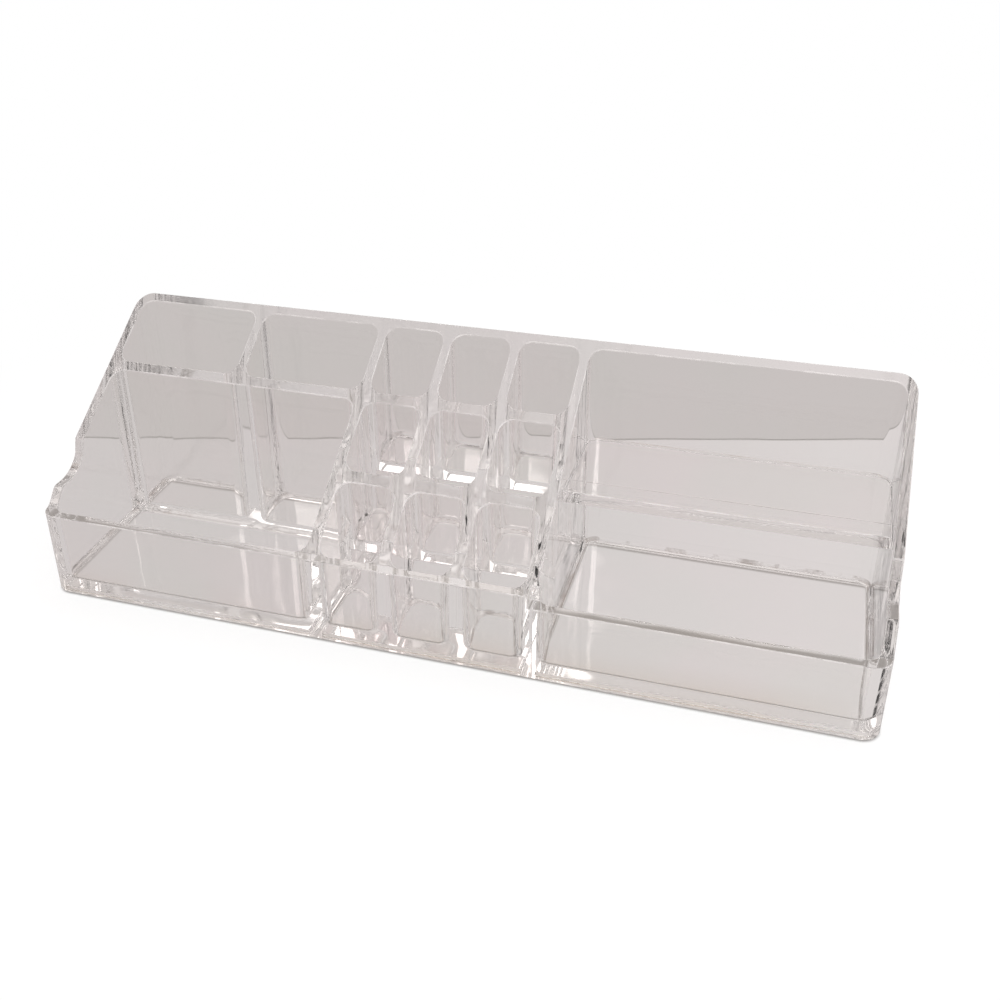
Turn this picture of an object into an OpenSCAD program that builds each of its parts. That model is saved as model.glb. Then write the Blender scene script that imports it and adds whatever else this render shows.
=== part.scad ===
// Clear vanity organizer: a long, low tray moulded in clear plastic.
// Left bay with two deep pockets behind one wide pocket, a block of stepped
// lipstick cells in the middle, and an open right bay with a rear shelf.
// X runs left to right, Y from front to back, Z up; the origin is the centre
// of the footprint on the table. All sizes are in millimetres.

/* [Overall] */
// Length from left to right
tray_len = 280; // [240:1:340]
// Depth from front to back
tray_depth = 82; // [74:1:100]
// Height of the back rim
back_h = 82; // [74:1:96]
// Outer corner radius in plan
corner_r = 6; // [4:0.5:10]

/* [Walls] */
// Wall thickness at the back rim
wall_t = 3; // [2.4:0.1:4]
// Draft angle of every pocket side, in degrees
draft = 0.6; // [0.2:0.1:1]
// Radius of the upright pocket corners
pocket_r = 4.5; // [1.5:0.25:5]
// Radius between a pocket's sides and its floor
floor_r = 2.4; // [1.2:0.2:3]
// Bevel round the mouth of each cell and pocket
mouth_c = 0.7; // [0.3:0.1:1]

/* [Side profile] */
// Height of the front wall of the left and middle bays
front_h = 31.2; // [24:0.2:34]
// Height of the front wall of the right bay
right_front_h = 26.8; // [20:0.2:30]
// Height of the rounded shoulder at the front of each end wall
shoulder_h = 36.5; // [35:0.5:40]
// How far back the shoulder's front rounding runs
shoulder_round = 8.5; // [5:0.5:10]
// How far back the level part of the shoulder runs
shoulder_end = 15; // [12:0.5:16]
// Where the scoop behind the shoulder ends
scoop_end = 25.5; // [20:0.5:26]
// Height at the top of the scoop
scoop_h = 42; // [41:0.5:44]
// Distance from the front to the foot of the long slope
knee_y = 27; // [26.5:0.5:32]
// Height at the foot of the long slope
knee_h = 47; // [45:0.5:52]

/* [Left bay] */
// From the left end to the middle of the block's left side wall
left_bay_len = 100; // [80:0.5:120]
// From the left end to the middle of the divider between the rear pockets
left_divider_x = 52; // [35:0.5:62]

/* [Lipstick block] */
// Distance between the middles of two dividers
cell_pitch = 24.4; // [22:0.1:27]
// Floor height of the rear row of cells
rear_floor_z = 37.4; // [32:0.2:40]
// Floor height of the middle row of cells
middle_floor_z = 20.5; // [16:0.2:24]
// Thickness of the raised floors
step_floor_t = 2.6; // [2:0.1:3.2]

/* [Base] */
// Height of the lowest floors
base_floor_z = 4; // [3.4:0.1:5]
// Recess under the floors, which leaves the walls as a foot rim
foot_recess = 1; // [0.4:0.1:1.6]

/* [Right bay shelf] */
// Height of the shelf's top face
shelf_z = 46.5; // [40:0.5:49]
// Thickness of the shelf
shelf_t = 3.2; // [2.4:0.1:4]
// Distance of the shelf's front edge from the front of the tray
shelf_front = 37.5; // [34:0.5:44]
// Width of the raised rail along the shelf's front edge
rail_w = 8; // [4:0.5:10]
// Height of that rail above the shelf
rail_h = 1.1; // [0.6:0.1:2]

/* [Quality] */
// Facets round a full circle
facets = 24; // [16:8:48]
// Steps round each upright pocket corner
corner_steps = 4; // [2:1:8]
// Steps round each floor edge
floor_steps = 3; // [1:1:4]

/* [Hidden] */
$fn = facets;
clear = [0.86, 0.83, 0.82, 0.45];
clear_floor = [0.82, 0.80, 0.80, 0.45];
clear_cell = [0.88, 0.85, 0.84, 0.45];

// Outer faces and the planes on which the walls meet the pieces between them.
x_left = -tray_len / 2;
x_right = tray_len / 2;
y_front = -tray_depth / 2;
y_back = tray_depth / 2;
lean = back_h * tan(draft);
half_t = wall_t / 2 + lean;
outer_t = wall_t + lean;
x_in_left = x_left + outer_t;
x_in_right = x_right - outer_t;
y_in_front = y_front + outer_t;
y_in_back = y_back - outer_t;

// The block's fore-and-aft walls, and its two rows of partitions.
rows = 3;
columns = 3;
row_pitch = (tray_depth - wall_t) / rows;
x_divider = x_left + left_divider_x;
front_part_y = y_front + wall_t / 2 + row_pitch;
rear_part_y = front_part_y + row_pitch;
row_floor = [base_floor_z, middle_floor_z, rear_floor_z];
slope = (back_h - knee_h) / (tray_depth - knee_y);
last = columns;
// Overrun of a cut past the face that it opens.
over = 1;
function rib_x(i) = x_left + left_bay_len + i * cell_pitch;
function part_y(k) = y_front + wall_t / 2 + k * row_pitch;
function mirror_lo(a) = a + wall_t / 2;
function mirror_hi(a) = a - wall_t / 2;

// The side outline in front of the knee: shoulder, scoop and the short step.
function shoulder_arc(h) = [for (i = [0 : floor_steps * 2])
    let (a = i * 90 / (floor_steps * 2))
    [y_front + shoulder_round * (1 - cos(a)), h + (shoulder_h - h) * sin(a)]];
function scoop_arc() = [for (i = [0 : floor_steps * 2])
    let (a = i * 60 / (floor_steps * 2))
    [y_front + shoulder_end + (scoop_end - shoulder_end) * sin(a) / sin(60),
        shoulder_h + (scoop_h - shoulder_h) * (1 - cos(a)) / (1 - cos(60))]];

// Everything under one side outline, run out along X.
module along_x(outline) {
    translate([x_left, 0, 0]) rotate([90, 0, 90]) linear_extrude(tray_len) polygon(outline);
}

module under_end_profile(h) {
    along_x(concat([[y_front, 0]], shoulder_arc(h), scoop_arc(),
        [[y_front + knee_y, knee_h], [y_back, back_h], [y_back, 0]]));
}

module under_wall_profile() {
    along_x([[y_front, 0], [y_front, front_h], [y_in_front, front_h],
        [y_front + knee_y, knee_h], [y_back, back_h], [y_back, 0]]);
}

// The tray's outer block, with rounded upright corners.
module outer_block() {
    linear_extrude(back_h) {
        square([tray_len - 2 * corner_r, tray_depth], center = true);
        square([tray_len, tray_depth - 2 * corner_r], center = true);
        for (sx = [-1, 1], sy = [-1, 1])
            translate([sx * (x_right - corner_r), sy * (y_back - corner_r)]) circle(corner_r);
    }
}

// A box between two corners.
module zone(x0, x1, y0, y1, z0, z1) {
    translate([x0, y0, z0]) cube([x1 - x0, y1 - y0, z1 - z0]);
}

// The outline of a rounded rectangle at height z, counterclockwise.
function ring(lx, ly, r, z) = [for (c = [0 : 3], i = [0 : corner_steps])
    let (a = 90 * (c + i / corner_steps), sx = c == 0 || c == 3 ? 1 : -1, sy = c < 2 ? 1 : -1)
    [sx * (lx / 2 - r) + r * cos(a), sy * (ly / 2 - r) + r * sin(a), z]];

// A loft through rings that all have the same number of points.
module loft(rings) {
    n = len(rings[0]);
    m = len(rings);
    polyhedron([for (r = rings) each r], concat(
        [[for (i = [0 : n - 1]) i], [for (i = [n - 1 : -1 : 0]) (m - 1) * n + i]],
        [for (j = [0 : m - 2], i = [0 : n - 1])
            let (a = j * n + i, b = j * n + (i + 1) % n) each [[a, a + n, b + n], [a, b + n, b]]]));
}

// One moulded pocket. The sides stand on the four planes at the height of the
// back rim and lean in below it; the floor edge is rounded.
module pocket(x0, x1, y0, y1, floor_z) {
    foot = floor_z + floor_r;
    top = back_h + foot_recess;
    function wide(z) = x1 - x0 - 2 * (back_h - z) * tan(draft);
    function deep(z) = y1 - y0 - 2 * (back_h - z) * tan(draft);
    translate([(x0 + x1) / 2, (y0 + y1) / 2, 0]) loft(concat(
        [for (i = [0 : floor_steps]) let (a = i * 90 / floor_steps, gap = floor_r * (1 - sin(a)))
            ring(wide(foot) - 2 * gap, deep(foot) - 2 * gap, max(pocket_r - gap, pocket_r / 4),
                floor_z + floor_r * (1 - cos(a)))],
        [ring(wide(top), deep(top), pocket_r, top)]));
}

// A bevel round a pocket's mouth, laid in the plane of the long slope.
module mouth(x0, x1, y0, y1) {
    cy = (y0 + y1) / 2;
    rim = knee_h + slope * (cy - y_front - knee_y);
    narrow = (back_h - rim) * tan(draft);
    tilt = atan(slope);
    lx = x1 - x0 - 2 * narrow;
    ly = (y1 - y0 - 2 * narrow) / cos(tilt);
    tall = mouth_c * 3;
    translate([(x0 + x1) / 2, cy, rim]) rotate([tilt, 0, 0]) loft([
        ring(lx, ly, pocket_r, -mouth_c),
        ring(lx + 2 * tall, ly + 2 * tall, pocket_r + tall, tall - mouth_c)]);
}

// Cell of the lipstick block, by column and row; row 0 is at the front.
module cell(i, k) {
    pocket(mirror_lo(rib_x(i)), mirror_hi(rib_x(i + 1)), mirror_lo(part_y(k)),
        mirror_hi(part_y(k + 1)), row_floor[k]);
    if (k > 0) mouth(mirror_lo(rib_x(i)), mirror_hi(rib_x(i + 1)), mirror_lo(part_y(k)),
        mirror_hi(part_y(k + 1)));
}

module left_rear_pocket(side) {
    x0 = side == 0 ? x_left + wall_t : mirror_lo(x_divider);
    x1 = side == 0 ? mirror_hi(x_divider) : mirror_hi(rib_x(0));
    pocket(x0, x1, mirror_lo(rear_part_y), y_back - wall_t, base_floor_z);
    mouth(x0, x1, mirror_lo(rear_part_y), y_back - wall_t);
}

module left_front_pocket() {
    pocket(x_left + wall_t, mirror_hi(rib_x(0)), y_front + wall_t, mirror_hi(rear_part_y), base_floor_z);
}

module right_pocket() {
    pocket(mirror_lo(rib_x(last)), x_right - wall_t, y_front + wall_t, y_back - wall_t, base_floor_z);
}

module left_pockets() {
    left_rear_pocket(0);
    left_rear_pocket(1);
    left_front_pocket();
}

module back_wall() {
    color(clear) difference() {
        intersection() {
            outer_block();
            under_wall_profile();
            union() {
                zone(x_in_left, x_in_right, y_in_back, y_back, 0, back_h);
                y0 = y_in_back - pocket_r;
                low = base_floor_z + floor_r;
                zone(x_in_left, x_divider - half_t, y0, y_back, low, back_h);
                zone(x_divider + half_t, rib_x(0) - half_t, y0, y_back, low, back_h);
                for (i = [0 : columns - 1])
                    zone(rib_x(i) + half_t, rib_x(i + 1) - half_t, y0, y_back,
                        rear_floor_z + floor_r, back_h);
                zone(rib_x(last) + half_t, x_in_right, y0, y_back, low, back_h);
            }
        }
        left_rear_pocket(0);
        left_rear_pocket(1);
        for (i = [0 : columns - 1]) cell(i, rows - 1);
        right_pocket();
    }
}

module left_end_wall() {
    color(clear) difference() {
        intersection() {
            outer_block();
            under_end_profile(front_h);
            zone(x_left, x_in_left, y_front, y_back, 0, back_h);
        }
        left_rear_pocket(0);
        left_front_pocket();
    }
}

module right_end_wall() {
    color(clear) difference() {
        intersection() {
            outer_block();
            under_end_profile(right_front_h);
            zone(x_in_right, x_right, y_front, y_back, 0, back_h);
        }
        right_pocket();
    }
}

module front_wall() {
    color(clear) difference() {
        intersection() {
            outer_block();
            union() {
                zone(x_in_left, rib_x(last), y_front, y_in_front, 0, front_h);
                low = base_floor_z + floor_r;
                y1 = y_in_front + pocket_r;
                zone(x_in_left, rib_x(0) - half_t, y_front, y1, low, front_h);
                for (i = [0 : columns - 1])
                    zone(rib_x(i) + half_t, rib_x(i + 1) - half_t, y_front, y1, low, front_h);
            }
        }
        left_front_pocket();
        for (i = [0 : columns - 1]) cell(i, 0);
    }
}

module right_bay_front_wall() {
    color(clear) difference() {
        intersection() {
            outer_block();
            union() {
                zone(rib_x(last), x_in_right, y_front, y_in_front, 0, right_front_h);
                zone(rib_x(last) + half_t, x_in_right, y_front, y_in_front + pocket_r,
                    base_floor_z + floor_r, right_front_h);
            }
        }
        right_pocket();
    }
}

// A floor whose edges turn up round the foot of each pocket, with seats at
// floor height for the walls that stand on it.
module left_bay_floor() {
    x1 = rib_x(0) - half_t;
    y0 = rear_part_y - half_t;
    y1 = rear_part_y + half_t;
    edge = base_floor_z + floor_r;
    color(clear_floor) difference() {
        zone(x_in_left, x1, y_in_front, y_in_back, foot_recess, edge);
        left_pockets();
        zone(x_in_left - over, x1 + over, y0, y1, base_floor_z, edge + over);
        zone(x_divider - half_t, x_divider + half_t, y1 - over, y_in_back + over, base_floor_z,
            edge + over);
    }
}

module left_bay_cross_wall() {
    color(clear) difference() {
        intersection() {
            under_wall_profile();
            union() {
                zone(x_in_left, rib_x(0) - half_t, rear_part_y - half_t, rear_part_y + half_t,
                    base_floor_z, back_h);
                low = base_floor_z + floor_r;
                reach = half_t + pocket_r;
                zone(x_in_left, rib_x(0) - half_t, rear_part_y - reach, rear_part_y, low, back_h);
                zone(x_in_left, x_divider - half_t, rear_part_y, rear_part_y + reach, low, back_h);
                zone(x_divider + half_t, rib_x(0) - half_t, rear_part_y, rear_part_y + reach,
                    low, back_h);
            }
        }
        left_pockets();
    }
}

module left_bay_divider() {
    color(clear) difference() {
        intersection() {
            under_wall_profile();
            zone(x_divider - half_t, x_divider + half_t, rear_part_y + half_t, y_in_back,
                base_floor_z, back_h);
        }
        left_rear_pocket(0);
        left_rear_pocket(1);
    }
}

// Outer side walls of the lipstick block, down to the table.
module lipstick_left_wall() {
    color(clear_cell) difference() {
        intersection() {
            under_wall_profile();
            zone(rib_x(0) - half_t, rib_x(0) + half_t, y_in_front, y_in_back, 0, back_h);
        }
        left_rear_pocket(1);
        left_front_pocket();
        for (k = [0 : rows - 1]) cell(0, k);
    }
}

module lipstick_right_wall() {
    color(clear_cell) difference() {
        intersection() {
            under_wall_profile();
            zone(rib_x(last) - half_t, rib_x(last) + half_t, y_in_front, y_in_back, 0, back_h);
        }
        right_pocket();
        for (k = [0 : rows - 1]) cell(last - 1, k);
    }
}

// A divider between two columns, stepped below to stand on the three floors.
module lipstick_divider(i) {
    color(clear_cell) difference() {
        intersection() {
            under_wall_profile();
            union() {
                x0 = rib_x(i) - half_t;
                x1 = rib_x(i) + half_t;
                zone(x0, x1, y_in_front, front_part_y + half_t, base_floor_z, back_h);
                zone(x0, x1, front_part_y, rear_part_y + half_t, middle_floor_z, back_h);
                zone(x0, x1, rear_part_y, y_in_back, rear_floor_z, back_h);
            }
        }
        for (k = [0 : rows - 1]) {
            cell(i - 1, k);
            cell(i, k);
        }
    }
}

// A partition between two rows, in column i, standing on the lower floor.
module lipstick_partition(i, k) {
    y = part_y(k);
    reach = half_t + pocket_r;
    color(clear_cell) difference() {
        intersection() {
            under_wall_profile();
            union() {
                x0 = rib_x(i) + half_t;
                x1 = rib_x(i + 1) - half_t;
                zone(x0, x1, y - half_t, y + half_t, row_floor[k - 1], back_h);
                zone(x0, x1, y - reach, y, row_floor[k - 1] + floor_r, back_h);
                zone(x0, x1, y, y + reach, row_floor[k] + floor_r, back_h);
            }
        }
        cell(i, k - 1);
        cell(i, k);
    }
}

// The floor under one row of cells, which runs on below the partition behind.
module lipstick_floor(k, y0, bottom) {
    x0 = rib_x(0) + half_t;
    x1 = rib_x(last) - half_t;
    y1 = k == rows - 1 ? y_in_back : part_y(k + 1) + half_t;
    edge = row_floor[k] + floor_r;
    color(clear_floor) difference() {
        zone(x0, x1, y0, y1, bottom, edge);
        for (i = [0 : columns - 1]) cell(i, k);
        for (i = [1 : columns - 1])
            zone(rib_x(i) - half_t, rib_x(i) + half_t, y0 - over, y1 + over, row_floor[k], edge + over);
        if (k < rows - 1)
            zone(x0 - over, x1 + over, part_y(k + 1) - half_t, y1 + over, row_floor[k], edge + over);
    }
}

module lipstick_front_floor() {
    lipstick_floor(0, y_in_front, foot_recess);
}

module lipstick_middle_floor() {
    lipstick_floor(1, front_part_y + half_t, middle_floor_z - step_floor_t);
}

module lipstick_rear_floor() {
    lipstick_floor(2, rear_part_y + half_t, rear_floor_z - step_floor_t);
}

module right_bay_floor() {
    color(clear_floor) difference() {
        zone(rib_x(last) + half_t, x_in_right, y_in_front, y_in_back, foot_recess,
            base_floor_z + floor_r);
        right_pocket();
    }
}

// The shelf fills the back of the right bay from wall to wall, with a low rail
// along its front edge.
module right_bay_shelf() {
    y0 = y_front + shelf_front;
    color(clear_floor) intersection() {
        right_pocket();
        union() {
            zone(rib_x(last), x_right, y0, y_back, shelf_z - shelf_t, shelf_z);
            zone(rib_x(last), x_right, y0, y0 + rail_w, shelf_z - shelf_t, shelf_z + rail_h);
        }
    }
}

back_wall();
left_end_wall();
right_end_wall();
front_wall();
right_bay_front_wall();
left_bay_floor();
left_bay_cross_wall();
left_bay_divider();
lipstick_left_wall();
lipstick_right_wall();
lipstick_divider(1);  // lipstick_divider_1
lipstick_divider(2);  // lipstick_divider_2
lipstick_partition(0, 2);  // lipstick_rear_partition_1
lipstick_partition(1, 2);  // lipstick_rear_partition_2
lipstick_partition(2, 2);  // lipstick_rear_partition_3
lipstick_partition(0, 1);  // lipstick_front_partition_1
lipstick_partition(1, 1);  // lipstick_front_partition_2
lipstick_partition(2, 1);  // lipstick_front_partition_3
lipstick_front_floor();
lipstick_middle_floor();
lipstick_rear_floor();
right_bay_floor();
right_bay_shelf();
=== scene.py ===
"""Clear vanity organizer: the moulded tray and its shelf in clear styrene, with a plain white stage.

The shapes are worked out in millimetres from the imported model's own pieces, and end in metres in the
same place. The walls and floors are one clear moulding here, because a face between two of them would
show as a pane inside the plastic.
"""
import math

import bmesh
import bpy
from mathutils import Matrix, Vector


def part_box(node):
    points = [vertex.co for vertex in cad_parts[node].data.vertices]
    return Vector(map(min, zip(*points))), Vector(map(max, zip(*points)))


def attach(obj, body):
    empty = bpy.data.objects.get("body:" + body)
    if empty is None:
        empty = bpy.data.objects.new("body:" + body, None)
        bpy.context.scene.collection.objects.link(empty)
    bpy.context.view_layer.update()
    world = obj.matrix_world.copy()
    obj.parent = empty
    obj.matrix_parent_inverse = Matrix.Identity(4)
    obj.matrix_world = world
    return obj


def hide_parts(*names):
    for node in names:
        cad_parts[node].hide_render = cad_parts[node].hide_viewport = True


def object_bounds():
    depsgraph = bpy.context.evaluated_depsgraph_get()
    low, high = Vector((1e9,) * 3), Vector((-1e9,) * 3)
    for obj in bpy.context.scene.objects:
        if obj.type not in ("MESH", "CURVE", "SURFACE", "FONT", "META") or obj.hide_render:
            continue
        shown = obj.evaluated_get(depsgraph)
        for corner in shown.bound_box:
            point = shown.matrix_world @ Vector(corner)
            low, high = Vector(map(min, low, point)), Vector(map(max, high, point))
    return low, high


bl_info = {
    "name": "Vanity Organizer",
    "version": (1, 0, 0),
    "blender": (4, 5, 0),
    "location": "View3D > Sidebar > Organizer",
    "description": "Clear moulded vanity tray with lipstick cells and a shelf bay",
    "category": "Add Mesh",
}

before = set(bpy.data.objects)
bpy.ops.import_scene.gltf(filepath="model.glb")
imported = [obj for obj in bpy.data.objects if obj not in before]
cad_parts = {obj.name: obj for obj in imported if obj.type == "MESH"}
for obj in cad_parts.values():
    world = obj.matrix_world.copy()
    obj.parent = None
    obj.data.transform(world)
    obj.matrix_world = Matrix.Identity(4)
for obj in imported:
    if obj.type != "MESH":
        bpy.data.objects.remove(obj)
FRAME_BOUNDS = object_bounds()
MM = 0.001
CELL_FLOORS = ["lipstick_front_floor", "lipstick_middle_floor", "lipstick_rear_floor"]
CELL_WALLS = ["lipstick_left_wall", "lipstick_divider_1", "lipstick_divider_2", "lipstick_right_wall"]
TRAY_NODES = [
    "back_wall", "left_end_wall", "right_end_wall", "front_wall", "right_bay_front_wall",
    "left_bay_floor", "left_bay_cross_wall", "left_bay_divider",
    "lipstick_left_wall", "lipstick_right_wall", "lipstick_divider_1", "lipstick_divider_2",
    "lipstick_rear_partition_1", "lipstick_rear_partition_2", "lipstick_rear_partition_3",
    "lipstick_front_partition_1", "lipstick_front_partition_2", "lipstick_front_partition_3",
    *CELL_FLOORS, "right_bay_floor",
]

# how finely the curves are cut: segments of each
CORNER_STEPS = 16
FLOOR_EDGE_STEPS = 8
RIM_STEPS = 3
OUTLINE_STEPS = 8
# how far a cutting shape reaches past what it cuts, in millimetres
PAST = 1.0
# edges that turn more than the first are rounded, and those that turn less than the second look smooth
ROUNDED_ABOVE = math.radians(35)
SMOOTH_BELOW = math.radians(32)

# the photograph's camera: place in metres, turns in degrees, lens and sensor in millimetres
CAMERA_AT = (0.1051, -0.3284, 0.2452)
CAMERA_YAW, CAMERA_PITCH, CAMERA_ROLL = -17.85, 28.63, 1.04
CAMERA_LENS, CAMERA_SENSOR = 42.84, 36
CAMERA_SHIFT = (0.0402, -0.0536)
# the soft lamps: name, place and side in metres, and watts
LAMPS = [("soft_top", (0.25, 0.35, 1.1), 0.6, 5.0), ("soft_front_right", (0.75, -0.75, 0.7), 0.5, 4.0)]
LAMPS_AIM = (0, 0, 0.02)
# the room's round window: where it is, its half width in degrees, and its strength
WINDOW_AT = (-0.285, 0.775, 0.565)
WINDOW_SPREAD = 8.5
WINDOW_STRENGTH = 3.2


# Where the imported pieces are, in millimetres

def low(node):
    """The least x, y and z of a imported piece."""
    return [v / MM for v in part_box(node)[0]]


def high(node):
    """The greatest x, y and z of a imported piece."""
    return [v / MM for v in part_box(node)[1]]


def middle_x(node):
    """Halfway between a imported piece's left and right."""
    return (low(node)[0] + high(node)[0]) / 2


class Plan:
    """The planes of the walls and floors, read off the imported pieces."""

    def __init__(self, sizes):
        box = [[v / MM for v in corner] for corner in FRAME_BOUNDS]
        self.x0, self.y0 = box[0][0], box[0][1]
        self.x1, self.y1 = box[1][0], box[1][1]
        self.rim = box[1][2]
        self.wall = sizes.wall / MM
        self.draft = math.tan(sizes.draft)
        self.pocket_r = sizes.pocket_radius / MM
        self.floor_r = sizes.floor_radius / MM
        self.corner_r = sizes.corner_radius / MM
        self.ribs = [middle_x(node) for node in CELL_WALLS]
        self.left_divider = middle_x("left_bay_divider")
        row = (self.y1 - self.y0 - self.wall) / 3
        self.rows = [self.y0 + self.wall / 2 + k * row for k in range(4)]
        self.base_floor = high("left_bay_floor")[2] - self.floor_r
        self.cell_floors = [high(node)[2] - self.floor_r for node in CELL_FLOORS]
        self.cell_undersides = [low(node)[2] for node in CELL_FLOORS]
        self.recess = low("left_bay_floor")[2]
        self.front = high("front_wall")[2]
        self.right_front = high("right_bay_front_wall")[2]
        # half an inner wall, and an outer wall, at the table, where the draft has made them thickest
        self.slab = self.wall / 2 + self.rim * self.draft
        self.outer = self.wall + self.rim * self.draft
        self.knee_y = self.y0 + sizes.knee_back / MM
        self.knee = sizes.knee_height / MM
        self.shoulder = sizes.shoulder_height / MM
        self.rise_start = sizes.rise_start / MM
        self.rise_end = sizes.rise_end / MM
        self.shoulder_end = sizes.shoulder_length / MM
        self.scoop_end = sizes.scoop_end / MM
        self.scoop = sizes.scoop_height / MM

    def end_outline(self, front):
        """The side outline of an end wall, as (y, z): front rise, shoulder, scoop, step, slope."""
        n = OUTLINE_STEPS
        # half a cosine wave, level at both ends
        rise = [(self.y0 + self.rise_start + (self.rise_end - self.rise_start) * i / n,
                 front + (self.shoulder - front) * (1 - math.cos(i * math.pi / n)) / 2)
                for i in range(n + 1)]
        # a hollow arc that starts level with the shoulder and turns up by this much
        arc = math.radians(60)
        scoop = [(self.y0 + self.shoulder_end + (self.scoop_end - self.shoulder_end)
                  * math.sin(i * arc / n) / math.sin(arc),
                  self.shoulder + (self.scoop - self.shoulder)
                  * (1 - math.cos(i * arc / n)) / (1 - math.cos(arc))) for i in range(n + 1)]
        return ([(self.y0, 0), (self.y0, front)] + rise + scoop
                + [(self.knee_y, self.knee), (self.y1, self.rim), (self.y1, 0)])

    def wall_outline(self):
        """The side outline of every wall between the ends."""
        return [(self.y0, 0), (self.y0, self.front), (self.y0 + self.outer, self.front),
                (self.knee_y, self.knee), (self.y1, self.rim), (self.y1, 0)]

    def right_bay(self):
        """(x0, x1, y0, y1, floor) of the right bay, at its planes at the height of the rim."""
        return (self.ribs[3] + self.wall / 2, self.x1 - self.wall, self.y0 + self.wall,
                self.y1 - self.wall, self.base_floor)

    def pockets(self):
        """The same of every pocket: the left bay's three, the right bay and the nine cells."""
        h = self.wall / 2
        left, front, back = self.x0 + self.wall, self.y0 + self.wall, self.y1 - self.wall
        boxes = [
            (left, self.left_divider - h, self.rows[2] + h, back, self.base_floor),
            (self.left_divider + h, self.ribs[0] - h, self.rows[2] + h, back, self.base_floor),
            (left, self.ribs[0] - h, front, self.rows[2] - h, self.base_floor),
            self.right_bay(),
        ]
        for k in range(3):
            for i in range(3):
                boxes.append((self.ribs[i] + h, self.ribs[i + 1] - h, self.rows[k] + h,
                              self.rows[k + 1] - h, self.cell_floors[k]))
        return boxes


# Mesh helpers

def prism(outline, x0, x1):
    """A closed outline in the side plane, run from x0 to x1."""
    bm = bmesh.new()
    face = bm.faces.new([bm.verts.new((x0, y, z)) for y, z in outline])
    for item in bmesh.ops.extrude_face_region(bm, geom=[face])["geom"]:
        if isinstance(item, bmesh.types.BMVert):
            item.co.x = x1
    bmesh.ops.recalc_face_normals(bm, faces=bm.faces)
    return bm


def block(x0, x1, y0, y1, z0, z1):
    """A plain box between two corners."""
    bm = bmesh.new()
    bmesh.ops.create_cube(bm, size=1, matrix=Matrix.Translation(
        ((x0 + x1) / 2, (y0 + y1) / 2, (z0 + z1) / 2)) @ Matrix.Diagonal((x1 - x0, y1 - y0, z1 - z0, 1)))
    return bm


def upright_edges(bm):
    """The edges that stand up, or lean by less than one in four."""
    runs = [(e, e.verts[0].co - e.verts[1].co) for e in bm.edges]
    return [e for e, run in runs if abs(run.z) > 4 * run.xy.length]


def round_edges(bm, edges, radius, segments, clamp=True):
    """The edges rounded; gives the new faces."""
    return bmesh.ops.bevel(bm, geom=edges, offset=radius, offset_type="OFFSET", affect="EDGES",
                           segments=segments, profile=0.5, material=-1, clamp_overlap=clamp)["faces"]


def pocket_block(plan, x0, x1, y0, y1, floor):
    """The space that one pocket leaves: leaning sides, round uprights and a round floor edge."""
    bm = block(x0, x1, y0, y1, floor, plan.rim + 2 * PAST)
    for v in bm.verts:
        lean = (plan.rim - v.co.z) * plan.draft
        v.co.x += lean if v.co.x < (x0 + x1) / 2 else -lean
        v.co.y += lean if v.co.y < (y0 + y1) / 2 else -lean
    round_edges(bm, upright_edges(bm), plan.pocket_r, CORNER_STEPS)
    foot = [e for e in bm.edges if all(abs(v.co.z - floor) < 1e-4 for v in e.verts)]
    round_edges(bm, foot, plan.floor_r, FLOOR_EDGE_STEPS)
    bmesh.ops.recalc_face_normals(bm, faces=bm.faces)
    return bm


def gathered(parts):
    """Several closed meshes as one, and the parts freed."""
    whole = bmesh.new()
    for part in parts:
        mesh = bpy.data.meshes.new("part")
        part.to_mesh(mesh)
        part.free()
        whole.from_mesh(mesh)
        bpy.data.meshes.remove(mesh)
    return whole


def combined(body, tool, operation):
    """body joined with, cut by or kept within tool; both are freed."""
    objects = []
    for bm in (body, tool):
        mesh = bpy.data.meshes.new("work")
        bm.to_mesh(mesh)
        bm.free()
        obj = bpy.data.objects.new("work", mesh)
        bpy.context.scene.collection.objects.link(obj)
        objects.append(obj)
    mod = objects[0].modifiers.new("combine", "BOOLEAN")
    mod.operation = operation
    mod.solver = "EXACT"
    mod.object = objects[1]
    bpy.context.view_layer.update()
    done = bpy.data.meshes.new_from_object(
        objects[0].evaluated_get(bpy.context.evaluated_depsgraph_get()))
    out = bmesh.new()
    out.from_mesh(done)
    bpy.data.meshes.remove(done)
    for obj in objects:
        mesh = obj.data
        bpy.data.objects.remove(obj)
        bpy.data.meshes.remove(mesh)
    return out


def tidied(bm):
    """Doubles merged, faces in one plane made one, and edges too short to round closed up."""
    double, flat, short = 0.002, math.radians(0.3), 0.1
    bmesh.ops.remove_doubles(bm, verts=bm.verts, dist=double)
    bmesh.ops.dissolve_degenerate(bm, edges=bm.edges, dist=double)
    bmesh.ops.dissolve_limit(bm, angle_limit=flat, verts=bm.verts, edges=bm.edges, delimit={"NORMAL"})
    bmesh.ops.collapse(bm, edges=[e for e in bm.edges if e.calc_length() < short])
    bmesh.ops.recalc_face_normals(bm, faces=bm.faces)
    return bm


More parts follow.
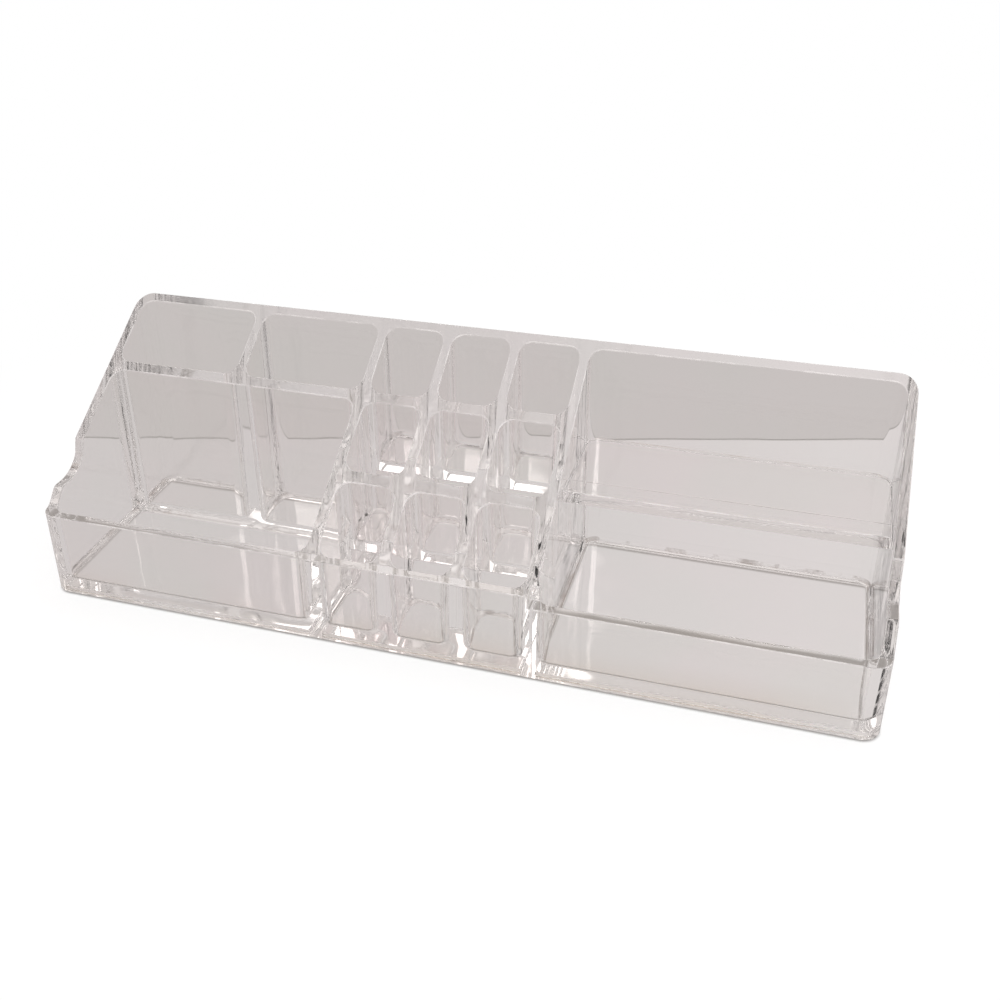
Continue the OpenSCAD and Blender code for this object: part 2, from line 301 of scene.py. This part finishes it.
def finished(bm, name, material, rim_r):
    """The mesh in metres as a piece of the scene, its sharp edges rounded as a polished mould leaves them."""
    worn = bm.faces.layers.float.new("worn")
    sharp = [e for e in bm.edges if len(e.link_faces) == 2 and e.calc_face_angle(0) > ROUNDED_ABOVE]
    # one short edge would clamp the rounding of all the others, so it isn't clamped
    for face in round_edges(bm, sharp, rim_r / MM, RIM_STEPS, clamp=False):
        face[worn] = 1.0
    bmesh.ops.scale(bm, vec=(MM, MM, MM), verts=bm.verts)
    for face in bm.faces:
        face.smooth = True
    for edge in bm.edges:
        edge.smooth = edge.calc_face_angle(0) < SMOOTH_BELOW
    mesh = bpy.data.meshes.new(name)
    bm.to_mesh(mesh)
    bm.free()
    obj = bpy.data.objects.new(name, mesh)
    bpy.context.scene.collection.objects.link(obj)
    mesh.materials.append(material)
    # the large faces keep their own direction, and the thin rounding takes up the turn
    weigh = obj.modifiers.new("even shading", "WEIGHTED_NORMAL")
    weigh.keep_sharp = True
    weigh.weight = 80
    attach(obj, "root")
    return obj


# Material helpers

def hexed(code):
    """An sRGB hex colour as linear RGBA."""
    parts = [int(code[i:i + 2], 16) / 255 for i in (1, 3, 5)]
    return [c / 12.92 if c <= 0.04045 else ((c + 0.055) / 1.055) ** 2.4 for c in parts] + [1.0]


def cleared(owner):
    """The node tree of a new material or world, with nothing in it."""
    owner.use_nodes = True
    owner.node_tree.nodes.clear()
    return owner.node_tree


def add(tree, kind, settings=None, **links):
    """A node with its settings and inputs; an input is a value or another node's socket.

    An input goes by its name, with _ for a space, or by i and its number where names repeat.
    """
    node = tree.nodes.new(kind)
    for key, value in (settings or {}).items():
        setattr(node, key, value)
    for key, value in links.items():
        name = key.replace("_", " ")
        socket = node.inputs[int(key[1:])] if key[0] == "i" and key[1:].isdigit() else node.inputs[name]
        if isinstance(value, bpy.types.NodeSocket):
            tree.links.new(value, socket)
        else:
            socket.default_value = value
    return node


def dust_mask(tree, place, floors):
    """Where dust lies: patches on the round edges between each floor and its walls."""
    tilt = add(tree, "ShaderNodeSeparateXYZ",
               Vector=add(tree, "ShaderNodeNewGeometry").outputs["Normal"]).outputs["Z"]
    # faces that lean, neither level floor nor upright wall
    leaning = add(tree, "ShaderNodeMath", {"operation": "COMPARE"}, i0=tilt, i1=0.62, i2=0.26)
    z = add(tree, "ShaderNodeSeparateXYZ", Vector=place).outputs["Z"]
    # the lowest 1.8 mm above any of the floors
    half_band = 0.9 * MM
    on_floor = 0.0
    for floor in floors:
        near = add(tree, "ShaderNodeMath", {"operation": "COMPARE"}, i0=z, i1=floor + half_band,
                   i2=half_band).outputs[0]
        on_floor = add(tree, "ShaderNodeMath", {"operation": "MAXIMUM"}, i0=on_floor, i1=near).outputs[0]
    # patches about 11 mm across
    patches = add(tree, "ShaderNodeTexNoise", Vector=place, Scale=90.0, Detail=6.0, Roughness=0.7)
    patchy = add(tree, "ShaderNodeMapRange", Value=patches.outputs["Fac"], From_Min=0.5,
                 From_Max=0.64, To_Min=0.0, To_Max=0.45)
    edges = add(tree, "ShaderNodeMath", {"operation": "MULTIPLY"}, i0=leaning.outputs[0], i1=on_floor)
    return add(tree, "ShaderNodeMath", {"operation": "MULTIPLY"}, i0=edges.outputs[0],
               i1=patchy.outputs["Result"]).outputs[0]


def low_front_tint_mask(tree, place, front):
    """Where the plastic has a warm tint: low on the front wall and on the floor behind it."""
    apart = add(tree, "ShaderNodeSeparateXYZ", Vector=place)
    # it fades out from 2 to 8 mm above the table, and from 6 to 18 mm behind the front
    low_down = add(tree, "ShaderNodeMapRange", Value=apart.outputs["Z"], From_Min=2 * MM,
                   From_Max=8 * MM, To_Min=1.0, To_Max=0.0)
    forward = add(tree, "ShaderNodeMapRange", Value=apart.outputs["Y"], From_Min=front + 6 * MM,
                  From_Max=front + 18 * MM, To_Min=1.0, To_Max=0.0)
    # clouds about 70 mm across
    clouds = add(tree, "ShaderNodeTexNoise", Vector=place, Scale=14.0, Detail=3.0, Roughness=0.6)
    cloudy = add(tree, "ShaderNodeMapRange", Value=clouds.outputs["Fac"], From_Min=0.4, From_Max=0.6,
                 To_Min=0.15, To_Max=1.0)
    there = add(tree, "ShaderNodeMath", {"operation": "MULTIPLY"}, i0=low_down.outputs["Result"],
                i1=forward.outputs["Result"])
    return add(tree, "ShaderNodeMath", {"operation": "MULTIPLY"}, i0=there.outputs[0],
               i1=cloudy.outputs["Result"]).outputs[0]


def clear_styrene(look, plan):
    """Clear general-purpose polystyrene, injection moulded in a polished tool; made once for all pieces.

    It is glossy and water clear, a little grey through the thickness. Handling leaves a faint haze,
    the mould's shrinkage leaves slow waves in the large walls, a warm tint lies low at the front,
    dust stays in the round edges of the floors, and the rims are rubbed a little matt.
    """
    name = "clear_polystyrene_polished"
    if name in bpy.data.materials:
        return bpy.data.materials[name]
    mat = bpy.data.materials.new(name)
    tree = cleared(mat)
    place = add(tree, "ShaderNodeTexCoord").outputs["Object"]
    # the tint drifts over about 45 mm
    drift = add(tree, "ShaderNodeTexNoise", Vector=place, Scale=22.0, Detail=2.0, Roughness=0.5)
    tinted = add(tree, "ShaderNodeMix", {"data_type": "RGBA"},
                 i0=add(tree, "ShaderNodeMapRange", Value=drift.outputs["Fac"], From_Min=0.4,
                        From_Max=0.62).outputs["Result"], i6=look.tint, i7=look.cool)
    # a warm tint low on the front wall and the floor behind it
    low_front_tinted = add(tree, "ShaderNodeMix", {"data_type": "RGBA"},
                  i0=low_front_tint_mask(tree, place, plan.y0 * MM), i6=tinted.outputs[2], i7=look.low_front_tint)
    # waves 20 mm apart, and haze in patches of 8 mm
    waves = add(tree, "ShaderNodeTexNoise", Vector=place, Scale=50.0, Detail=1.0, Roughness=0.4)
    haze = add(tree, "ShaderNodeTexNoise", Vector=place, Scale=120.0, Detail=4.0, Roughness=0.6)
    rough = add(tree, "ShaderNodeMapRange", Value=haze.outputs["Fac"], From_Min=0.35, From_Max=0.75,
                To_Min=0.015, To_Max=0.06)
    bump = add(tree, "ShaderNodeBump", Height=waves.outputs["Fac"], Strength=0.35,
               Distance=0.6 * MM)
    plastic = add(tree, "ShaderNodeBsdfPrincipled", {"distribution": "GGX"},
                  Base_Color=low_front_tinted.outputs[2], Roughness=rough.outputs["Result"], IOR=1.5,
                  Transmission_Weight=1.0, Normal=bump.outputs["Normal"])
    floors = [z * MM for z in plan.cell_floors]
    settled = add(tree, "ShaderNodeMixShader", i0=dust_mask(tree, place, floors), i1=plastic.outputs[0],
                  i2=add(tree, "ShaderNodeBsdfDiffuse", Color=look.dust).outputs[0])
    # the worn attribute marks the rounded rims
    worn = add(tree, "ShaderNodeMath", {"operation": "MULTIPLY"},
               i0=add(tree, "ShaderNodeAttribute", {"attribute_name": "worn"}).outputs["Fac"],
               i1=add(tree, "ShaderNodeMapRange", Value=haze.outputs["Fac"], From_Min=0.42,
                      From_Max=0.6, To_Min=0.08, To_Max=0.4).outputs["Result"])
    rubbed = add(tree, "ShaderNodeMixShader", i0=worn.outputs[0], i1=settled.outputs[0],
                 i2=add(tree, "ShaderNodeBsdfDiffuse", Color=look.tint).outputs[0])
    # light passes through to the paper, so the tray's shadow stays pale
    rays = add(tree, "ShaderNodeLightPath")
    through = add(tree, "ShaderNodeBsdfTransparent", Color=look.shadow)
    mix = add(tree, "ShaderNodeMixShader", i0=rays.outputs["Is Shadow Ray"],
              i1=rubbed.outputs[0], i2=through.outputs[0])
    add(tree, "ShaderNodeOutputMaterial", Surface=mix.outputs[0])
    return mat


def stage_paper(look):
    """Seamless white paper. The lens sees it white; the plastic shows the table and the room behind it.

    The table's far edge runs nearly square to the lens, and shows through the plastic as a thin line of
    painted shade.
    Shade is also painted round the foot, on the paper and on the table under it, and light is painted on the
    table's right side.
    """
    mat = bpy.data.materials.new("seamless_white_paper")
    tree = cleared(mat)
    place = add(tree, "ShaderNodeTexCoord").outputs["Object"]
    square = (-math.sin(look.table_turn), math.cos(look.table_turn), 0)
    back = add(tree, "ShaderNodeVectorMath", {"operation": "DOT_PRODUCT"}, i0=place, i1=square)
    far = add(tree, "ShaderNodeMath", {"operation": "GREATER_THAN"}, i0=back.outputs["Value"],
              i1=look.table_edge)
    # painted shade: the edge shows as a dark line 1.2 mm wide
    edge = add(tree, "ShaderNodeMath", {"operation": "COMPARE"}, i0=back.outputs["Value"],
               i1=look.table_edge, i2=0.6 * MM)
    # painted light: the table grows lighter from 60 mm left of the middle to 120 mm right of it, as if the
    # light falls off to the left
    across = add(tree, "ShaderNodeMapRange", From_Min=-60 * MM, From_Max=120 * MM,
                 Value=add(tree, "ShaderNodeSeparateXYZ", Vector=place).outputs["X"])
    table = add(tree, "ShaderNodeMix", {"data_type": "RGBA"}, i0=across.outputs["Result"], i6=look.table,
                i7=look.table_lit)
    tone = add(tree, "ShaderNodeMix", {"data_type": "RGBA"}, i0=far.outputs[0], i6=table.outputs[2],
               i7=look.room)
    lined = add(tree, "ShaderNodeMix", {"data_type": "RGBA"}, i0=edge.outputs[0], i6=tone.outputs[2],
                i7=look.edge_shade_line)
    # painted contact shadow: ambient occlusion darkens the paper within 1 mm of the foot
    open_air = add(tree, "ShaderNodeAmbientOcclusion", {"samples": 8}, Distance=MM)
    clear = add(tree, "ShaderNodeMapRange", Value=open_air.outputs["AO"], From_Min=0.36, From_Max=0.92)
    contact_shadow = add(tree, "ShaderNodeMix", {"data_type": "RGBA"}, i0=clear.outputs["Result"], i6=look.contact_shadow,
                  i7=look.paper)
    # painted shade: the same measure darkens the table seen through the plastic under the foot
    shaded = add(tree, "ShaderNodeMix", {"data_type": "RGBA"}, i0=clear.outputs["Result"],
                 i6=look.under_foot_shade, i7=lined.outputs[2])
    rays = add(tree, "ShaderNodeLightPath")
    white = add(tree, "ShaderNodeEmission", Color=contact_shadow.outputs[2], Strength=1.0)
    behind = add(tree, "ShaderNodeEmission", Color=shaded.outputs[2], Strength=1.0)
    paper = add(tree, "ShaderNodeBsdfDiffuse", Color=look.paper)
    # a share of lit paper, which fades out 170 to 300 mm from the middle, keeps the tray's shadow
    away = add(tree, "ShaderNodeVectorMath", {"operation": "LENGTH"}, i0=place)
    share = add(tree, "ShaderNodeMapRange", Value=away.outputs["Value"], From_Min=170 * MM,
                From_Max=300 * MM, To_Min=0.2, To_Max=0.0)
    seen = add(tree, "ShaderNodeMixShader", i0=share.outputs["Result"], i1=white.outputs[0],
               i2=paper.outputs[0])
    lit = add(tree, "ShaderNodeMixShader", i0=rays.outputs["Is Transmission Ray"],
              i1=paper.outputs[0], i2=behind.outputs[0])
    shine = add(tree, "ShaderNodeMixShader", i0=rays.outputs["Is Glossy Ray"],
                i1=lit.outputs[0], i2=behind.outputs[0])
    mix = add(tree, "ShaderNodeMixShader", i0=rays.outputs["Is Camera Ray"],
              i1=shine.outputs[0], i2=seen.outputs[0])
    add(tree, "ShaderNodeOutputMaterial", Surface=mix.outputs[0])
    return mat


# Settings

def length(name, text, value):
    """A length setting, its default given in millimetres."""
    return bpy.props.FloatProperty(name=name, description=text, default=value * MM, min=0,
                                   unit="LENGTH", subtype="DISTANCE")


def angle(name, text, value):
    """An angle setting, its default given in degrees."""
    return bpy.props.FloatProperty(name=name, description=text, default=math.radians(value),
                                   subtype="ANGLE", unit="ROTATION")


def colour(name, text, code):
    """A colour setting, its default given as an sRGB hex code."""
    return bpy.props.FloatVectorProperty(name=name, description=text, default=hexed(code), size=4,
                                         subtype="COLOR", min=0, max=1)


class TraySizes(bpy.types.PropertyGroup):
    wall: length("Wall", "Wall thickness at the back rim", 3.0)
    draft: angle("Draft", "Lean of each pocket side", 0.6)
    pocket_radius: length("Pocket radius", "Radius of the upright pocket corners", 4.5)
    floor_radius: length("Floor radius", "Radius between a pocket's sides and its floor", 2.4)
    corner_radius: length("Corner radius", "Outer corner radius in plan", 6.0)
    rim_radius: length("Rim radius", "Rounding of every rim and outer edge", 0.3)
    shoulder_height: length("Shoulder", "Height of the shoulder of the end walls", 36.5)
    rise_start: length("Rise start", "Where the rise to the shoulder starts, from the front", 5.0)
    rise_end: length("Rise end", "Where the rise to the shoulder ends, from the front", 12.0)
    shoulder_length: length("Shoulder length", "How far back the level shoulder runs", 15.0)
    scoop_end: length("Scoop end", "Where the scoop ends, from the front", 25.5)
    scoop_height: length("Scoop height", "Height at the top of the scoop", 42.0)
    knee_back: length("Knee", "Distance from the front to the foot of the long slope", 27.0)
    knee_height: length("Knee height", "Height at the foot of the long slope", 47.0)
    shelf_gap: length("Shelf gap", "Gap between the shelf and the walls round it", 0.08)
    rail_width: length("Rail width", "Width of the rail along the shelf's front edge", 8.0)
    rail_height: length("Rail height", "Height of that rail above the shelf", 1.1)


class PlasticLook(bpy.types.PropertyGroup):
    tint: colour("Tint", "Tint of the clear plastic", "#FDFBFB")
    cool: colour("Cool tint", "What the tint drifts to in places", "#FBFBFA")
    # a warm tint low on the front wall and the floor behind it
    low_front_tint: colour("Stain", "Tint of the powder low at the front", "#F5F0EA")
    dust: colour("Dust", "Dust in the round edges of the floors", "#7D6E64")
    shadow: colour("Shadow", "What a wall leaves of the light that passes it", "#F3F2F2")


class StageLook(bpy.types.PropertyGroup):
    paper: colour("Paper", "The stage as the lens sees it", "#FFFFFF")
    # painted contact shadow on the paper round the foot
    contact_shadow: colour("Contact", "The paper where the foot stands on it", "#6A6561")
    # painted shade on the table under the foot, seen through the plastic
    under_foot_shade: colour("Under the foot", "The table under the foot, seen through the plastic", "#99938F")
    table: colour("Table", "The table, seen through the plastic", "#D1CCCB")
    # painted light on the table's right side
    table_lit: colour("Lit table", "The table's lighter right side", "#DED9D8")
    room: colour("Room", "Behind the table, seen through the plastic", "#C8C3C1")
    # painted shade along the table's far edge
    edge_shade_line: colour("Edge line", "The dark line of the table's edge", "#A19D99")
    table_edge: length("Table edge", "How far back the table ends, behind the tray", 111.9)
    table_turn: angle("Table turn", "Turn of the table's far edge", 15.5)


# Pieces

class ORGANIZER_OT_tray(bpy.types.Operator):
    """The one clear moulding: walls, dividers, partitions and floors"""
    bl_idname = "organizer.tray"
    bl_label = "Tray moulding"

    def execute(self, context):
        sizes = context.scene.organizer_sizes
        plan = Plan(sizes)
        # each end's outline runs in a little past the round uprights of its corner pockets
        end = plan.outer + 1.2 * plan.pocket_r
        inner0, inner1 = plan.x0 + end, plan.x1 - end
        body = prism(plan.wall_outline(), inner0, inner1)
        # the right bay's front wall is lower, cut down as far in as the round corner beside the cells
        cut_back = plan.y0 + plan.outer + plan.pocket_r / 4
        body = combined(body, block(plan.ribs[3], inner1 + PAST, plan.y0 - PAST, cut_back,
                                    plan.right_front, plan.front + 9 * PAST), "DIFFERENCE")
        body = combined(body, prism(plan.end_outline(plan.front), plan.x0, inner0), "UNION")
        body = combined(body, prism(plan.end_outline(plan.right_front), inner1, plan.x1), "UNION")
        rounded = block(plan.x0, plan.x1, plan.y0, plan.y1, -PAST, plan.rim + PAST)
        round_edges(rounded, upright_edges(rounded), plan.corner_r, CORNER_STEPS)
        body = combined(body, rounded, "INTERSECT")
        body = combined(body, gathered([pocket_block(plan, *p) for p in plan.pockets()]), "DIFFERENCE")
        body = combined(body, gathered(self.undersides(plan)), "DIFFERENCE")
        styrene = clear_styrene(context.scene.organizer_plastic, plan)
        obj = finished(tidied(body), "tray_moulding", styrene, sizes.rim_radius)
        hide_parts(*TRAY_NODES)
        return {"FINISHED"}

    def undersides(self, plan):
        """What is open under the floors: the foot recess, and the hollow under the raised cells."""
        front, back = plan.y0 + plan.outer, plan.y1 - plan.outer
        middle, rear = plan.rows[1] + plan.slab, plan.rows[2] + plan.slab
        rib0, rib1 = plan.ribs[0], plan.ribs[3]
        under_middle, under_rear = plan.cell_undersides[1:]
        hollow = prism([(front, -PAST), (front, plan.recess), (middle, plan.recess),
                        (middle, under_middle), (rear, under_middle),
                        (rear, under_rear), (back, under_rear), (back, -PAST)],
                       rib0 + plan.slab, rib1 - plan.slab)
        return [block(plan.x0 + plan.outer, rib0 - plan.slab, front, back, -PAST, plan.recess), hollow,
                block(rib1 + plan.slab, plan.x1 - plan.outer, front, back, -PAST, plan.recess)]


class ORGANIZER_OT_shelf(bpy.types.Operator):
    """The shelf across the back of the right bay, with a low rail along its front edge"""
    bl_idname = "organizer.shelf"
    bl_label = "Bay shelf"

    def execute(self, context):
        sizes = context.scene.organizer_sizes
        plan = Plan(sizes)
        bottom, top = low("right_bay_shelf"), high("right_bay_shelf")
        front, rail_top = bottom[1], top[2]
        rail_back = front + sizes.rail_width / MM
        shelf_top = rail_top - sizes.rail_height / MM
        body = prism([(front, bottom[2]), (front, rail_top), (rail_back, rail_top),
                      (rail_back, shelf_top), (plan.y1, shelf_top), (plan.y1, bottom[2])],
                     plan.ribs[3], plan.x1)
        # its ends and back follow the bay's leaning sides and round corners
        gap = sizes.shelf_gap / MM
        x0, x1, y0, y1, floor = plan.right_bay()
        space = pocket_block(plan, x0 + gap, x1 - gap, y0, y1 - gap, floor)
        body = tidied(combined(body, space, "INTERSECT"))
        styrene = clear_styrene(context.scene.organizer_plastic, plan)
        obj = finished(body, "bay_shelf", styrene, sizes.rim_radius)
        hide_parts("right_bay_shelf")
        return {"FINISHED"}


class ORGANIZER_OT_stage(bpy.types.Operator):
    """The paper, the room, the soft lamps and the camera"""
    bl_idname = "organizer.stage"
    bl_label = "Stage"

    def execute(self, context):
        scene = context.scene
        look = scene.organizer_stage
        scene.view_settings.view_transform = "Standard"
        # a wide sheet of paper, 0.6 mm below the foot so that the two faces never meet
        bm = bmesh.new()
        bmesh.ops.create_grid(bm, x_segments=1, y_segments=1, size=6.0,
                              matrix=Matrix.Translation((0, 0, -0.6 * MM)))
        mesh = bpy.data.meshes.new("stage_floor")
        bm.to_mesh(mesh)
        bm.free()
        floor = bpy.data.objects.new("stage_floor", mesh)
        scene.collection.objects.link(floor)
        mesh.materials.append(stage_paper(look))
        self.world(scene, look)
        for name, at, side, power in LAMPS:
            self.lamp(scene, name, at, side, power)
        self.camera(scene)
        # light runs far inside clear walls before it comes out
        scene.cycles.max_bounces = 32
        scene.cycles.glossy_bounces = 24
        scene.cycles.transmission_bounces = 24
        return {"FINISHED"}

    def world(self, scene, look):
        """A grey room that grows lighter upwards, with one bright round window; the lens sees it white."""
        scene.world = bpy.data.worlds.new("soft_room")
        tree = cleared(scene.world)
        rays = add(tree, "ShaderNodeLightPath")
        facing = add(tree, "ShaderNodeTexCoord").outputs["Generated"]
        z = add(tree, "ShaderNodeSeparateXYZ", Vector=facing).outputs["Z"]
        height = add(tree, "ShaderNodeMapRange", Value=z, From_Min=0.0, From_Max=0.6, To_Min=0.95,
                     To_Max=1.2)
        ceiling = add(tree, "ShaderNodeMapRange", Value=z, From_Min=0.7, From_Max=0.95, To_Min=1.0,
                      To_Max=1.35)
        walls = add(tree, "ShaderNodeMath", {"operation": "MULTIPLY"}, i0=height.outputs["Result"],
                    i1=ceiling.outputs["Result"])
        near = add(tree, "ShaderNodeVectorMath", {"operation": "DOT_PRODUCT"}, i0=facing,
                   i1=Vector(WINDOW_AT).normalized())
        # the window's edge is soft over the outer fifth of its half width
        window = add(tree, "ShaderNodeMapRange", Value=near.outputs["Value"],
                     From_Min=math.cos(math.radians(WINDOW_SPREAD)),
                     From_Max=math.cos(math.radians(WINDOW_SPREAD * 0.8)),
                     To_Min=0.0, To_Max=WINDOW_STRENGTH)
        level = add(tree, "ShaderNodeMath", {"operation": "ADD"}, i0=walls.outputs[0],
                    i1=window.outputs["Result"]).outputs[0]
        fill = add(tree, "ShaderNodeBackground", Color=look.room, Strength=level)
        seen = add(tree, "ShaderNodeBackground", Color=look.paper, Strength=1.0)
        mix = add(tree, "ShaderNodeMixShader", i0=rays.outputs["Is Camera Ray"],
                  i1=fill.outputs[0], i2=seen.outputs[0])
        add(tree, "ShaderNodeOutputWorld", Surface=mix.outputs[0])

    def lamp(self, scene, name, at, side, power):
        """A square soft lamp that faces the tray."""
        light = bpy.data.lights.new(name, "AREA")
        light.shape = "SQUARE"
        light.size = side
        light.energy = power
        obj = bpy.data.objects.new(name, light)
        obj.location = at
        obj.rotation_euler = (Vector(at) - Vector(LAMPS_AIM)).to_track_quat("Z", "Y").to_euler()
        # the tray shows the room and its window, not the lamps
        obj.visible_glossy = False
        obj.visible_transmission = False
        scene.collection.objects.link(obj)

    def camera(self, scene):
        """The photograph's camera."""
        yaw, pitch, roll = (math.radians(turn) for turn in (CAMERA_YAW, CAMERA_PITCH, CAMERA_ROLL))
        ahead = Vector((math.sin(yaw) * math.cos(pitch), math.cos(yaw) * math.cos(pitch), -math.sin(pitch)))
        right = ahead.cross(Vector((0, 0, 1))).normalized()
        down = ahead.cross(right)
        side = right * math.cos(roll) + down * math.sin(roll)
        under = down * math.cos(roll) - right * math.sin(roll)
        data = bpy.data.cameras.new("camera")
        data.sensor_width = CAMERA_SENSOR
        data.lens = CAMERA_LENS
        data.shift_x, data.shift_y = CAMERA_SHIFT
        data.clip_start = 0.01
        obj = bpy.data.objects.new("camera", data)
        turn = Matrix((side, -under, -ahead)).transposed().to_4x4()
        obj.matrix_world = Matrix.Translation(CAMERA_AT) @ turn
        scene.collection.objects.link(obj)
        scene.camera = obj


class ORGANIZER_PT_panel(bpy.types.Panel):
    """The organizer's settings and pieces"""
    bl_label = "Vanity Organizer"
    bl_space_type = "VIEW_3D"
    bl_region_type = "UI"
    bl_category = "Organizer"

    def draw(self, context):
        for name, group in GROUPS.items():
            for setting in group.__annotations__:
                self.layout.prop(getattr(context.scene, name), setting)
        for operator in OPERATORS:
            self.layout.operator(operator.bl_idname)


GROUPS = {"organizer_sizes": TraySizes, "organizer_plastic": PlasticLook, "organizer_stage": StageLook}
OPERATORS = (ORGANIZER_OT_tray, ORGANIZER_OT_shelf, ORGANIZER_OT_stage)
CLASSES = (*GROUPS.values(), *OPERATORS, ORGANIZER_PT_panel)


def register():
    for cls in CLASSES:
        bpy.utils.register_class(cls)
    for name, group in GROUPS.items():
        setattr(bpy.types.Scene, name, bpy.props.PointerProperty(type=group))


def unregister():
    for name in GROUPS:
        delattr(bpy.types.Scene, name)
    for cls in reversed(CLASSES):
        bpy.utils.unregister_class(cls)


def main():
    register()
    bpy.ops.organizer.tray()
    bpy.ops.organizer.shelf()
    bpy.ops.organizer.stage()


if __name__ == "__main__":
    main()
